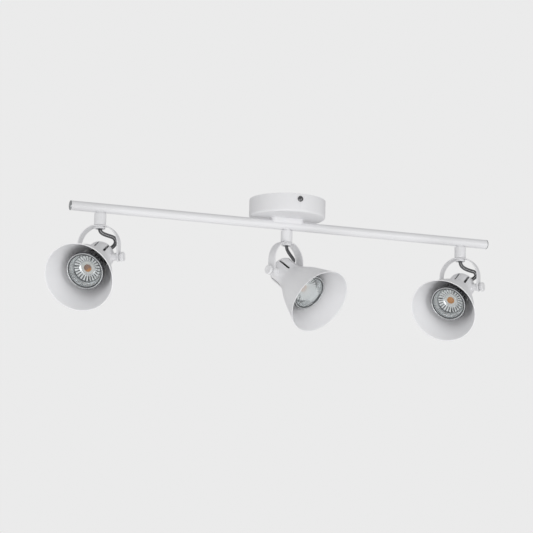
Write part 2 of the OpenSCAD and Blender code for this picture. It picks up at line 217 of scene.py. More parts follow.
# ---------------------------------------------------------------- materials
class Mat:
    """A Principled material built from object-space procedural nodes."""

    def __init__(self, name, colour, rough, metal=0.0, spec=0.5, uv=False):
        self.m = bpy.data.materials.new(name)
        self.m.use_nodes = True
        self.nt = self.m.node_tree
        self.nt.nodes.clear()
        self.out = self.new("ShaderNodeOutputMaterial")
        self.b = self.new("ShaderNodeBsdfPrincipled")
        self.link(self.b.outputs[0], self.out.inputs[0])
        self.b.inputs["Base Color"].default_value = (*colour, 1)
        self.b.inputs["Roughness"].default_value = rough
        self.b.inputs["Metallic"].default_value = metal
        self.b.inputs["Specular IOR Level"].default_value = spec
        tc = self.new("ShaderNodeTexCoord")
        self.co = tc.outputs["UV" if uv else "Object"]
        self.normal = None

    def new(self, kind):
        return self.nt.nodes.new(kind)

    def link(self, a, b):
        self.nt.links.new(a, b)

    def scaled(self, s):
        mp = self.new("ShaderNodeMapping")
        mp.inputs["Scale"].default_value = s
        self.link(self.co, mp.inputs["Vector"])
        return mp.outputs[0]

    def noise(self, scale, detail=2.0, rough=0.5, co=None, distort=0.0):
        n = self.new("ShaderNodeTexNoise")
        n.inputs["Scale"].default_value = scale
        n.inputs["Detail"].default_value = detail
        n.inputs["Roughness"].default_value = rough
        n.inputs["Distortion"].default_value = distort
        self.link(co or self.co, n.inputs["Vector"])
        return n.outputs[0]

    def cells(self, scale, feature="F1", co=None, out="Distance"):
        n = self.new("ShaderNodeTexVoronoi")
        n.feature = feature
        n.inputs["Scale"].default_value = scale
        self.link(co or self.co, n.inputs["Vector"])
        return n.outputs[out]

    def wave(self, scale, axis="X", distort=0.0, co=None, profile="SIN"):
        n = self.new("ShaderNodeTexWave")
        n.wave_type, n.bands_direction, n.wave_profile = "BANDS", axis, profile
        n.inputs["Scale"].default_value = scale
        n.inputs["Distortion"].default_value = distort
        self.link(co or self.co, n.inputs["Vector"])
        return n.outputs[1]

    def maths(self, op, a, b=None):
        n = self.new("ShaderNodeMath")
        n.operation = op
        for i, v in enumerate((a, b)):
            if v is None:
                continue
            if isinstance(v, (int, float)):
                n.inputs[i].default_value = v
            else:
                self.link(v, n.inputs[i])
        return n.outputs[0]

    def span(self, v, lo, hi, a=0.0, b=1.0):
        n = self.new("ShaderNodeMapRange")
        n.inputs["From Min"].default_value, n.inputs["From Max"].default_value = lo, hi
        n.inputs["To Min"].default_value, n.inputs["To Max"].default_value = a, b
        self.link(v, n.inputs["Value"])
        return n.outputs[0]

    def mix(self, fac, a, b):
        n = self.new("ShaderNodeMix")
        n.data_type = "RGBA"
        self.link(fac, n.inputs["Factor"])
        for k, v in ((6, a), (7, b)):
            if isinstance(v, tuple):
                n.inputs[k].default_value = (*v, 1)
            else:
                self.link(v, n.inputs[k])
        return n.outputs[2]

    def colour(self, v):
        self.link(v, self.b.inputs["Base Color"])

    def rough(self, v):
        self.link(v, self.b.inputs["Roughness"])

    def bump(self, height, strength, distance):
        n = self.new("ShaderNodeBump")
        n.inputs["Strength"].default_value = strength
        n.inputs["Distance"].default_value = distance
        self.link(height, n.inputs["Height"])
        if self.normal is not None:
            self.link(self.normal, n.inputs["Normal"])
        self.normal = n.outputs[0]
        self.link(self.normal, self.b.inputs["Normal"])

    def worn(self, lo=0.52, hi=0.60):
        g = self.new("ShaderNodeNewGeometry")
        return self.span(g.outputs["Pointiness"], lo, hi)


def powder_coat(name, a, b, rough=(0.34, 0.46)):
    t = Mat(name, a, 0.4)
    base = t.mix(t.span(t.noise(14, 2), 0.35, 0.65), a, b)
    specks = t.span(t.noise(420, 3, 0.6), 0.70, 0.78)
    base = t.mix(specks, base, tuple(c * 0.93 for c in b))
    base = t.mix(t.maths("MULTIPLY", t.worn(0.54, 0.66), 0.35), base, tuple(c * 0.86 for c in b))
    t.colour(base)
    t.rough(t.span(t.noise(260, 3), 0.3, 0.7, *rough))
    t.bump(t.noise(130, 2), 0.12, 0.0004)
    t.bump(t.noise(1250, 2, 0.55), 0.22, 0.00012)
    return t.m


def plated(name, colour, rough, grain=0.0, spec=0.5):
    t = Mat(name, colour, rough[0], 1.0, spec)
    cloud = t.noise(60, 4, 0.6)
    t.colour(t.mix(t.span(cloud, 0.35, 0.7), colour, tuple(c * 0.88 for c in colour)))
    scratch = t.noise(1.0, 3, 0.6, t.scaled((90, 90, 2600)))
    t.rough(t.span(t.maths("ADD", t.maths("MULTIPLY", scratch, 0.5), t.maths("MULTIPLY", cloud, 0.5)), 0.3, 0.7, *rough))
    if grain:
        t.bump(t.noise(1.0, 2, 0.5, t.scaled((400, 400, 5200))), grain, 0.00006)
    t.bump(t.noise(35, 2), 0.05, 0.0004)
    return t.m


WHITE = powder_coat("white powder coat", (0.842, 0.842, 0.858), (0.822, 0.822, 0.836))
# a lighter copy of the white powder coat on the lamp shades only: painted light to brighten their interiors
WHITE_LAMPSHADE_PAINTED_LIGHT = powder_coat("white powder coat shade", (0.885, 0.885, 0.900), (0.865, 0.865, 0.880), (0.30, 0.42))
CHROME = plated("bright chrome plate", (0.42, 0.43, 0.44), (0.10, 0.22))
SCREW = plated("dark nickel screw", (0.16, 0.16, 0.165), (0.18, 0.34))
RIM = plated("lamp rim", (0.60, 0.61, 0.62), (0.16, 0.32))
# near-black copy of the rim finish for its outer edge: painted shade, the shadow line between the lamp rim and the lamp
# shade
RIM_EDGE_PAINTED_SHADE = plated("lamp rim edge", (0.09, 0.095, 0.10), (0.25, 0.4))


def zinc_sheet():
    t = Mat("zinc plated steel", (0.60, 0.61, 0.63), 0.35, 1.0)
    spangle = t.cells(320, out="Color")
    sep = t.new("ShaderNodeSeparateColor")
    t.link(spangle, sep.inputs[0])
    t.colour(t.mix(sep.outputs[0], (0.66, 0.67, 0.70), (0.52, 0.53, 0.55)))
    t.rough(t.span(sep.outputs[1], 0, 1, 0.26, 0.46))
    t.bump(t.cells(320, "DISTANCE_TO_EDGE"), 0.15, 0.0001)
    t.bump(t.noise(900, 3), 0.12, 0.00008)
    return t.m


def moulded(name, a, b, rough, grain=0.2, scale=1100, spec=0.45):
    t = Mat(name, a, rough[0], 0.0, spec)
    t.colour(t.mix(t.span(t.noise(70, 3), 0.35, 0.65), a, b))
    t.rough(t.span(t.noise(300, 2), 0.3, 0.7, *rough))
    t.bump(t.noise(scale, 3, 0.6), grain, 0.0001)
    return t.m


def braid():
    t = Mat("woven lead sleeve", (0.05, 0.05, 0.055), 0.55, 0.0, 0.4, uv=True)
    a = t.wave(1.0, "DIAGONAL", 0, t.scaled((9.0, 9.0, 0.0)))
    b = t.wave(1.0, "DIAGONAL", 0, t.scaled((9.0, -9.0, 0.0)))
    h = t.maths("MAXIMUM", a, b)
    # colour follows the weave height: the woven pattern is real, its crests painted lighter as highlight and its
    # hollows darker as shade
    t.colour(t.mix(t.span(h, 0.3, 1.0), (0.045, 0.046, 0.050), (0.16, 0.162, 0.17)))
    t.rough(t.span(h, 0.2, 1.0, 0.62, 0.40))
    t.bump(h, 0.5, 0.00014)
    return t.m


def phosphor():
    t = Mat("led phosphor", (0.62, 0.22, 0.03), 0.4, 0.0, 0.3)
    dots = t.span(t.cells(900), 0.15, 0.45)
    amber = t.mix(dots, (0.56, 0.19, 0.025), (0.66, 0.27, 0.05))
    t.colour(t.mix(t.span(t.noise(70, 1), 0.46, 0.56), amber, (0.30, 0.15, 0.09)))
    t.rough(t.span(t.noise(500, 2), 0.3, 0.7, 0.3, 0.5))
    t.bump(dots, 0.25, 0.0001)
    return t.m


def mirror_cell(name, colour, rough):
    t = Mat(name, colour, rough, 0.92, 0.5)
    t.colour(t.mix(t.span(t.noise(160, 2), 0.3, 0.7), colour, tuple(c * 0.84 for c in colour)))
    t.rough(t.span(t.noise(700, 2), 0.3, 0.7, rough * 0.7, rough * 1.5))
    t.bump(t.noise(420, 2), 0.10, 0.0002)
    return t.m


def clear_cover():
    """Clear moulded cover: it lets light through and mirrors more at a glance."""
    t = Mat("clear lamp cover", (0.90, 0.93, 0.94), 0.06, 0.0, 0.5)
    t.rough(t.span(t.noise(240, 2), 0.3, 0.7, 0.03, 0.12))
    t.bump(t.noise(220, 2), 0.08, 0.0003)
    clear = t.new("ShaderNodeBsdfTransparent")
    clear.inputs[0].default_value = (0.97, 0.975, 0.975, 1)
    f = t.new("ShaderNodeLayerWeight")
    f.inputs["Blend"].default_value = 0.30
    mx = t.new("ShaderNodeMixShader")
    t.link(t.span(f.outputs["Fresnel"], 0.0, 1.0, 0.03, 0.6), mx.inputs[0])
    t.link(clear.outputs[0], mx.inputs[1])
    t.link(t.b.outputs[0], mx.inputs[2])
    t.link(mx.outputs[0], t.out.inputs[0])
    return t.m


ZINC = zinc_sheet()
BRASS = plated("terminal brass", (0.75, 0.58, 0.28), (0.22, 0.4), 0.1)
TERMINAL = moulded("terminal plastic", (0.78, 0.77, 0.72), (0.72, 0.71, 0.66), (0.4, 0.55))
# near-black lamp holder: its dark stands for the shade inside the housing seen through the slots, painted shade
HOLDER_CERAMIC_PAINTED_SHADE = moulded("holder ceramic", (0.060, 0.055, 0.050), (0.040, 0.037, 0.034), (0.5, 0.7), 0.35, 700)
RUBBER = moulded("bushing rubber", (0.035, 0.035, 0.037), (0.06, 0.06, 0.062), (0.5, 0.7), 0.3, 900)
# near-black ring between lens and rim: a dark piece put in the gap as painted shadow
LENS_GAP_PAINTED_SHADOW = moulded("dark lens gasket", (0.045, 0.05, 0.055), (0.08, 0.085, 0.09), (0.3, 0.45), 0.15, 900)
LEAD = braid()
PHOSPHOR = phosphor()
LED_BOARD = moulded("led carrier board", (0.80, 0.80, 0.78), (0.74, 0.74, 0.72), (0.3, 0.45), 0.1)
CELL = mirror_cell("reflector cell", (0.74, 0.755, 0.765), 0.18)
# lit and shaded copies of the reflector finish: a bright white copy painted on the teeth as reflection, a near-black
# copy painted on the step and the tooth gaps as shade
REFLECTOR_PAINTED_HIGHLIGHT = moulded("reflector tooth", (0.93, 0.94, 0.94), (0.86, 0.87, 0.88), (0.18, 0.3), 0.1, 500, 0.8)
REFLECTOR_PAINTED_SHADE = mirror_cell("reflector groove", (0.07, 0.075, 0.08), 0.25)
SINK = mirror_cell("lamp heat sink", (0.42, 0.42, 0.43), 0.2)
# near-black copy for the recesses between the fins: painted shade
SINK_SLOT_PAINTED_SHADE = moulded("heat sink slot", (0.010, 0.010, 0.011), (0.02, 0.02, 0.021), (0.4, 0.6))
LAMP_PLASTIC = moulded("lamp base plastic", (0.80, 0.80, 0.78), (0.75, 0.75, 0.73), (0.32, 0.45))
COVER = clear_cover()


# ---------------------------------------------------------------- mesh helpers
def mesh_object(name, verts, faces, mats, index=None, sharp=32.0, uvs=None, flat=False):
    """A mesh in metres from lists in millimetres, its edges sharp where faces turn by more than sharp degrees."""
    me = bpy.data.meshes.new(name)
    me.from_pydata([tuple(c * MM for c in v) for v in verts], [], faces)
    for t in mats:
        me.materials.append(t)
    if index:
        for p, i in zip(me.polygons, index):
            p.material_index = i
    if uvs:
        layer = me.uv_layers.new(name="UVMap")
        for p in me.polygons:
            for li, vi in zip(p.loop_indices, p.vertices):
                layer.data[li].uv = uvs[p.index][list(p.vertices).index(vi)]
    tidy(me, sharp, flat)
    o = bpy.data.objects.new(name, me)
    scene.collection.objects.link(o)
    return o


def tidy(me, sharp=32.0, flat=False):
    bm = bmesh.new()
    bm.from_mesh(me)
    bmesh.ops.recalc_face_normals(bm, faces=bm.faces)
    for f in bm.faces:
        f.smooth = not flat
    for e in bm.edges:
        e.smooth = not (len(e.link_faces) == 2 and e.calc_face_angle() > math.radians(sharp))
    bm.to_mesh(me)
    bm.free()
    me.update()


def rounded(pts, n=4):
    """Corner points (x, y[, radius]) as a closed outline with each given corner rounded."""
    out, count = [], len(pts)
    for i, p in enumerate(pts):
        r = p[2] if len(p) > 2 else 0
        if r <= 0:
            out.append((p[0], p[1]))
            continue
        c = Vector(p[:2])
        a, b = Vector(pts[i - 1][:2]) - c, Vector(pts[(i + 1) % count][:2]) - c
        la, lb = a.length, b.length
        a, b = a / la, b / lb
        half = math.acos(max(-1, min(1, a.dot(b)))) / 2
        t = min(r / math.tan(half), la * 0.49, lb * 0.49)
        r = t * math.tan(half)
        centre = c + (a + b).normalized() * (r / math.sin(half))
        s, e = c + a * t - centre, c + b * t - centre
        for k in range(n + 1):
            v = s.lerp(e, k / n).normalized() * r
            out.append(tuple(centre + v))
    return out


def revolve(profile, seg=96, closed=True, shape=None):
    """Vertices and faces of a profile (radius, height) turned about Z; shape(angle, i, r, z) may change a point."""
    verts, faces, rings = [], [], []
    for i, (r, z) in enumerate(profile):
        if r < 1e-6:
            rings.append([len(verts)])
            verts.append((0.0, 0.0, z))
            continue
        ring = []
        for k in range(seg):
            a = TAU * k / seg
            rr, zz = shape(a, i, r, z) if shape else (r, z)
            ring.append(len(verts))
            verts.append((rr * math.cos(a), rr * math.sin(a), zz))
        rings.append(ring)
    for i in range(len(rings) if closed else len(rings) - 1):
        a, b = rings[i], rings[(i + 1) % len(rings)]
        for k in range(seg):
            k2 = (k + 1) % seg
            if len(a) == 1 and len(b) == 1:
                break
            if len(a) == 1:
                faces.append((a[0], b[k2], b[k]))
            elif len(b) == 1:
                faces.append((a[k], a[k2], b[0]))
            else:
                faces.append((a[k], a[k2], b[k2], b[k]))
    return verts, faces


def placed(verts, mtx):
    """Millimetre vertices moved by a 4x4 whose place is in millimetres."""
    return [tuple(mtx @ Vector(v)) for v in verts]


def join(*parts):
    verts, faces = [], []
    for v, f in parts:
        base = len(verts)
        verts += v
        faces += [tuple(i + base for i in x) for x in f]
    return verts, faces


def prism(outline, lo, hi, axis="Z"):
    """A closed outline extruded along an axis between two heights."""
    n = len(outline)
    put = {"Z": lambda p, h: (p[0], p[1], h), "X": lambda p, h: (h, p[0], p[1]), "Y": lambda p, h: (p[0], h, p[1])}[axis]
    verts = [put(p, lo) for p in outline] + [put(p, hi) for p in outline]
    faces = [tuple(range(n))[::-1], tuple(range(n, 2 * n))]
    faces += [(k, (k + 1) % n, n + (k + 1) % n, n + k) for k in range(n)]
    return verts, faces


def stadium(cx, cy, length, width, n=10):
    """Outline of a slot, long along the second coordinate."""
    r, h = width / 2, (length - width) / 2
    pts = [(cx + r * math.cos(math.pi * k / n), cy + h + r * math.sin(math.pi * k / n)) for k in range(n + 1)]
    pts += [(cx - r * math.cos(math.pi * k / n), cy - h - r * math.sin(math.pi * k / n)) for k in range(n + 1)]
    return pts


def circle(r, n=32, cx=0.0, cy=0.0, turn=0.0):
    return [(cx + r * math.cos(TAU * k / n + turn), cy + r * math.sin(TAU * k / n + turn)) for k in range(n)]


def carve(o, cutter, op="DIFFERENCE"):
    """Applies an exact boolean and removes the cutter."""
    md = o.modifiers.new("cut", "BOOLEAN")
    md.operation, md.object, md.solver = op, cutter, "EXACT"
    apply_modifiers(o)
    bpy.data.objects.remove(cutter)
    return o


def apply_modifiers(o):
    dg = bpy.context.evaluated_depsgraph_get()
    dg.update()
    me = bpy.data.meshes.new_from_object(o.evaluated_get(dg))
    o.modifiers.clear()
    old = o.data
    o.data = me
    bpy.data.meshes.remove(old)


def soften(o, width, seg=2, angle=35):
    """Rounds the sharp edges by a width in millimetres."""
    md = o.modifiers.new("round", "BEVEL")
    md.width, md.segments, md.limit_method = width * MM, seg, "ANGLE"
    md.angle_limit = math.radians(angle)
    md.harden_normals = False
    apply_modifiers(o)
    tidy(o.data, 40)


def copy_at(src, name, mtx_mm):
    """A copy of a local-frame piece, moved by a matrix whose place is in millimetres, the place kept in the vertices."""
    me = src.data.copy()
    me.name = name
    t = mtx_mm.copy()
    t.translation = t.translation * MM
    me.transform(t)
    if t.determinant() < 0:
        me.flip_normals()
    o = bpy.data.objects.new(name, me)
    scene.collection.objects.link(o)
    return o


def done(o, body, slot=None, *stands_for):
    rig.ride(o, body)
    if slot:
        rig.slot(o, slot)
    if stands_for:
        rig.replaces(o, *stands_for)
    return o


def local_only(o):
    bpy.data.objects.remove(o)


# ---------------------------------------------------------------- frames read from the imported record
def head_frames(h):
    """The bow frame and head frame of a lamp head, in millimetres."""
    o = Vector(joints[f"{h}_tilt"]["pos_m"]) / MM
    px = -Vector(joints[f"{h}_tilt"]["axis"]).normalized()
    f = -Vector(joints[f"{h}_lamp_twist"]["axis"]).normalized()
    z = Vector((0, 0, 1))
    y = z.cross(px)
    bow = Matrix((px, y, z)).transposed().to_4x4()
    bow.translation = o
    hz = -f
    hy = hz.cross(px)
    head = Matrix((px, hy, hz)).transposed().to_4x4()
    head.translation = o
    tilt = math.atan2(-f.dot(y), -f.dot(z))
    return bow, head, tilt


lo, hi = (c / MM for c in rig.box("canopy"))
CANOPY_R, CANOPY_H = hi.x, -lo.z
lo, hi = (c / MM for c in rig.box("bar_tube"))
BAR_X, BAR_R, BAR_Z = hi.x, (hi.z - lo.z) / 2, (hi.z + lo.z) / 2
lo, hi = (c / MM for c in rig.box("bar_end_caps"))
CAP_X = hi.x
lo, hi = (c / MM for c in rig.box("stems"))
STEM_BOT, STEM_R = lo.z, hi.y
STEM_TOP = BAR_Z - BAR_R - 1.1
HEAD_X = [joints[f"{h}_pan"]["pos_m"][0] / MM for h in HEADS]
BOW_TOP = joints["centre_pan"]["pos_m"][2] / MM
PIVOT_Z = joints["centre_tilt"]["pos_m"][2] / MM
lo, hi = (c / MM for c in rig.box("swivel_nipples"))
NIPPLE_BOT = lo.z

# ---------------------------------------------------------------- canopy
R, H = CANOPY_R, CANOPY_H
wall = 1.2
prof = rounded([(R, -0.3, 0.25), (R, -H, 2.9), (5.1, -H, 0.25), (5.1, -H + wall, 0.15), (R - wall, -H + wall, 1.9), (R - wall, -0.3, 0.25)], 7)
canopy = mesh_object("canopy_cup", *revolve(prof, 224), [WHITE], sharp=40)
cut = mesh_object("cut", *join(
    prism(circle(2.3, 24, 0, -7.7), -R - 4, -R + 4, "Y"),
    prism(circle(2.3, 24, 0, -7.7), R - 4, R + 4, "Y")), [WHITE])
carve(canopy, cut)
tidy(canopy.data, 35)
done(canopy, "fixture", "white_powder_coat", "canopy")

# cross-recess side screws: domed head and a cut thread
head_prof = [(0, R + 2.1), (1.1, R + 2.08), (2.1, R + 1.95), (2.9, R + 1.68), (3.5, R + 1.3), (3.85, R + 0.85), (3.9, R + 0.5), (3.85, R + 0.12), (3.7, R + 0.06), (1.98, R + 0.06)]


def threaded(r, depth, pitch, z0, z1, seg=32, per=8, bore=0.0):
    """A rod with a helical thread from z0 up to z1."""
    steps = max(2, int((z1 - z0) / pitch * per))
    verts, faces = [], []
    for j in range(steps + 1):
        z = z0 + (z1 - z0) * j / steps
        for k in range(seg):
            ph = (z / pitch + k / seg) % 1.0
            rr = r - depth * (abs(2 * ph - 1) ** 0.8)
            a = TAU * k / seg
            verts.append((rr * math.cos(a), rr * math.sin(a), z))
    for j in range(steps):
        for k in range(seg):
            k2 = (k + 1) % seg
            faces.append((j * seg + k, j * seg + k2, (j + 1) * seg + k2, (j + 1) * seg + k))
    if bore > 0:
        base = len(verts)
        for z in (z0, z1):
            verts += [(bore * math.cos(TAU * k / seg), bore * math.sin(TAU * k / seg), z) for k in range(seg)]
        for k in range(seg):
            k2 = (k + 1) % seg
            faces.append((base + k, base + seg + k, base + seg + k2, base + k2))
            faces.append((k, base + k, base + k2, k2))
            top = steps * seg
            faces.append((top + k, top + k2, base + seg + k2, base + seg + k))
    else:
        faces.append(tuple(range(seg))[::-1])
        faces.append(tuple(range(steps * seg, (steps + 1) * seg)))
    return verts, faces


along_y = {-1: Matrix(((1, 0, 0, 0), (0, 0, -1, 0), (0, 1, 0, 0), (0, 0, 0, 1))), 1: Matrix(((1, 0, 0, 0), (0, 0, 1, 0), (0, -1, 0, 0), (0, 0, 0, 1)))}
screws = []
for s in (-1, 1):
    head_v, head_f = revolve(head_prof + [(0, R + 0.06)], 48, closed=False)
    shank = threaded(1.95, 0.25, 0.7, R - 9.4, R + 0.05, 24)
    t = along_y[s].copy()
    t.translation = Vector((0, 0, -7.7))
    v, f = head_v, head_f
    o = mesh_object(f"canopy_side_screw_{'front' if s < 0 else 'back'}", placed(v, t), f, [SCREW], sharp=40)
    c1 = prism([(-0.45, -2.3), (0.45, -2.3), (0.45, 2.3), (-0.45, 2.3)], R + 0.95, R + 3)
    c2 = prism([(-2.3, -0.45), (2.3, -0.45), (2.3, 0.45), (-2.3, 0.45)], R + 0.95, R + 3)
    for c in (c1, c2):
        carve(o, mesh_object("cut", placed(c[0], t), c[1], [SCREW]))
    tidy(o.data, 30)
    done(o, "fixture", "chrome_plate", *(("canopy_side_screws",) if s < 0 else ()))
    sh = mesh_object(f"canopy_side_screw_shank_{'front' if s < 0 else 'back'}", placed(shank[0], t), shank[1], [SCREW], sharp=60)
    done(sh, "fixture", "chrome_plate")

# ---------------------------------------------------------------- bar, caps, saddle
tube_prof = rounded([(BAR_R, -BAR_X, 0.2), (BAR_R, BAR_X, 0.2), (BAR_R - 1.2, BAR_X, 0.1), (BAR_R - 1.2, -BAR_X, 0.1)], 3)
to_x = Matrix(((0, 0, 1, 0), (0, 1, 0, 0), (-1, 0, 0, BAR_Z), (0, 0, 0, 1)))
# rings along the tube keep its faces short
steps = [-BAR_X + 0.4 + (2 * BAR_X - 0.8) * k / 48 for k in range(49)]
half = len(tube_prof)
outer = [p for p in tube_prof if p[0] > BAR_R - 0.6]
v, f = revolve([(BAR_R - 1.2, -BAR_X), (BAR_R - 0.25, -BAR_X), (BAR_R - 0.07, -BAR_X + 0.08), (BAR_R, -BAR_X + 0.25)]
               + [(BAR_R, s) for s in steps]
               + [(BAR_R, BAR_X - 0.25), (BAR_R - 0.07, BAR_X - 0.08), (BAR_R - 0.25, BAR_X), (BAR_R - 1.2, BAR_X)], 80)
done(mesh_object("bar_round_tube", placed(v, to_x), f, [WHITE], sharp=50), "fixture", "white_powder_coat", "bar_tube")

lip = CAP_X - BAR_X
for s, nm in ((1, "right"), (-1, "left")):
    cap = [(0, lip), (BAR_R - 4.2, lip - 0.04), (BAR_R - 2.4, lip - 0.22), (BAR_R - 1.2, lip - 0.52), (BAR_R - 0.5, lip - 0.85), (BAR_R - 0.05, 0.95), (BAR_R + 0.18, 0.72), (BAR_R + 0.25, 0.5),
           (BAR_R + 0.22, 0.12), (BAR_R + 0.1, 0.02), (BAR_R - 1.25, 0.02), (BAR_R - 1.25, -8.2), (BAR_R - 1.45, -9), (0, -9)]
    t = Matrix.Rotation(math.pi / 2 * s, 4, "Y")
    t.translation = Vector((s * BAR_X, 0, BAR_Z))
    v, f = revolve(cap, 64, closed=False)
    done(mesh_object(f"bar_end_cap_{nm}", placed(v, t), f, [CHROME], sharp=45), "fixture", "chrome_plate", *(("bar_end_caps",) if s > 0 else ()))

lo, hi = (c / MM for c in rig.box("bar_saddle"))
base = [(-17 + 6.4 * math.cos(a), 6.4 * math.sin(a)) for a in [math.pi / 2 + math.pi * k / 20 for k in range(21)]] + \
       [(17 + 6.4 * math.cos(a), 6.4 * math.sin(a)) for a in [-math.pi / 2 + math.pi * k / 20 for k in range(21)]]
v, f = prism(base, lo.z, -CANOPY_H - 0.01)
saddle = mesh_object("bar_saddle_block", v, f, [WHITE])
v, f = prism(circle(BAR_R - 0.01, 96, 0, BAR_Z), -40, 40, "X")
carve(saddle, mesh_object("cut", v, f, [WHITE]))
soften(saddle, 0.35, 2, 50)
done(saddle, "fixture", "white_powder_coat", "bar_saddle")

# ---------------------------------------------------------------- stems and swivel hardware
for x, h in zip(HEAD_X, HEADS):
    t = Matrix.Translation((x, 0, 0))
    r = STEM_R
    barrel = rounded([(4.85, STEM_BOT, 0.25), (r, STEM_BOT, 0.7), (r, STEM_TOP, 0.6), (5.3, STEM_TOP, 0), (5.3, BAR_Z - 2.2, 0), (3.9, BAR_Z - 2.2, 0), (3.9, STEM_BOT + 9.5, 0), (4.85, STEM_BOT + 9.5, 0)], 5)
    v, f = revolve(barrel, 72)
    o = mesh_object(f"{h}_stem_barrel", placed(v, t), f, [WHITE], sharp=38)
    done(o, "fixture", "white_powder_coat", *(("stems",) if h == "left" else ()))
    # weld bead between neck and bar
    bead = []
    n, k2 = 72, 8
    for i in range(n):
        a = TAU * i / n
        y = 5.45 * math.sin(a)
        zc = BAR_Z - math.sqrt(max(0.0, BAR_R ** 2 - y * y)) + 0.05
        for k in range(k2):
            b = TAU * k / k2
            rr = 5.45 + 0.45 * math.cos(b)
            bead.append((rr * math.cos(a), rr * math.sin(a), zc + 0.45 * math.sin(b)))
    faces = [(i * k2 + k, ((i + 1) % n) * k2 + k, ((i + 1) % n) * k2 + (k + 1) % k2, i * k2 + (k + 1) % k2) for i in range(n) for k in range(k2)]
    done(mesh_object(f"{h}_stem_weld", placed(bead, t), faces, [WHITE], sharp=60), "fixture", "white_powder_coat")
    v, f = threaded(4.78, 0.32, 1.0, NIPPLE_BOT, STEM_BOT + 9.3, 48, 8, 3.5)
    done(mesh_object(f"{h}_nipple_thread", placed(v, t), f, [ZINC], sharp=60), "fixture", "zinc_steel", *(("swivel_nipples",) if h == "left" else ()))
    lo, hi = (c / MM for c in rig.box("swivel_washers"))
    v, f = revolve(rounded([(4.9, lo.z, 0.1), (6.6, lo.z, 0.25), (6.6, hi.z, 0.25), (4.9, hi.z, 0.1)], 3), 56)
    done(mesh_object(f"{h}_spring_washer", placed(v, t), f, [WHITE], sharp=40), "fixture", "white_powder_coat", *(("swivel_washers",) if h == "left" else ()))
    lo, hi = (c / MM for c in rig.box("swivel_nuts"))
    v, f = prism(circle(7.4, 6), lo.z, hi.z)
    nut = mesh_object(f"{h}_hex_nut", v, f, [WHITE])
    v, f = revolve([(0, lo.z - 1), (6.5, lo.z), (7.45, lo.z + 0.5), (7.45, hi.z - 0.5), (6.5, hi.z), (0, hi.z + 1)], 64, closed=False)
    carve(nut, mesh_object("cut", v, f, [WHITE]), "INTERSECT")
    v, f = prism(circle(4.9, 48), lo.z - 3, hi.z + 3)
    carve(nut, mesh_object("cut", v, f, [WHITE]))
    nut.data.transform(Matrix.Translation((x * MM, 0, 0)))
    tidy(nut.data, 25)
    done(nut, "fixture", "white_powder_coat", *(("swivel_nuts",) if h == "left" else ()))

# ---------------------------------------------------------------- bow, built once about its pivot
lo, hi = (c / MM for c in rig.box("centre_bow"))
BOW_R, BOW_T, BOW_W = 28.25, 1.6, 13.0
ARC = BOW_TOP - PIVOT_Z - (BOW_R - 1)


def bow_path(r, top):
    """Side view of the strip from the left leg's end over the top to the right leg's end."""
    pts = []
    for z in [-BOW_W / 2 + (ARC + BOW_W / 2) * k / 26 for k in range(27)]:
        pts.append((-r, z))
    x_flat = math.sqrt(r * r - top * top)
    a1 = math.acos(x_flat / r)
    for k in range(1, 33):
        a = math.pi - (math.pi - (math.pi - a1)) * 0 - (math.pi - (math.pi - a1)) * k / 32
        pts.append((r * math.cos(a), ARC + r * math.sin(a)))
    for k in range(1, 8):
        pts.append((-x_flat + 2 * x_flat * k / 8, ARC + top))
    return pts + [(-x, z) for x, z in pts[:27 + 32]][::-1]


out_side, in_side = bow_path(BOW_R, BOW_R - 1), bow_path(BOW_R - BOW_T, BOW_R - 1 - BOW_T)
verts, faces, ring = [], [], []
edge = 0.4
for (xo, zo), (xi, zi) in zip(out_side, in_side):
    z = (zo + zi) / 2
    w = BOW_W / 2 if z > 0 else math.sqrt(max(0.0, (BOW_W / 2) ** 2 - min(z * z, (BOW_W / 2) ** 2)))
    w = max(w, 0.02)
    e = min(edge, w * 0.5)
    d = Vector((xi - xo, zi - zo))
    d = d / d.length
    row = []
    for y, k in ((-w + e, 0), (w - e, 0), (w, e), (w, BOW_T - e), (w - e, BOW_T), (-w + e, BOW_T), (-w, BOW_T - e), (-w, e)):
        row.append(len(verts))
        verts.append((xo + d.x * k * (1 if True else 0), y, zo + d.y * k))
    # each row is the strip's cross-section: eight points, its corners cut by a small chamfer
    ring.append(row)
for a, b in zip(ring, ring[1:]):
    for k in range(8):
        faces.append((a[k], a[(k + 1) % 8], b[(k + 1) % 8], b[k]))
faces += [tuple(ring[0])[::-1], tuple(ring[-1])]
bow0 = mesh_object("bow_local", verts, faces, [WHITE], sharp=50)
top_h = BOW_TOP - PIVOT_Z
cut = mesh_object("cut", *prism(circle(4.95, 48), top_h - 4, top_h + 3), [WHITE])
carve(bow0, cut)
cut = mesh_object("cut", *prism(circle(2.1, 32), -40, 40, "X"), [WHITE])
carve(bow0, cut)
tidy(bow0.data, 28)

# ---------------------------------------------------------------- shade, built once about the tilt axis
MOUTH_Z, REAR_Z, HR, ST = -78.0, 11.0, 18.8, 1.2
mouth_r = 45.7
SHADE = [(-8, mouth_r + 3.3), (0, mouth_r), (8, 42.6), (16, 39.6), (24, 36.8), (32, 33.9), (40, 30.5), (48, 26.6), (56, 22.3), (62, 19.95), (68, 18.95), (74, 18.8)]


def through(a, b, c, d, t):
    return 0.5 * (2 * b + (c - a) * t + (2 * a - 5 * b + 4 * c - d) * t * t + (3 * b - a - 3 * c + d) * t ** 3)


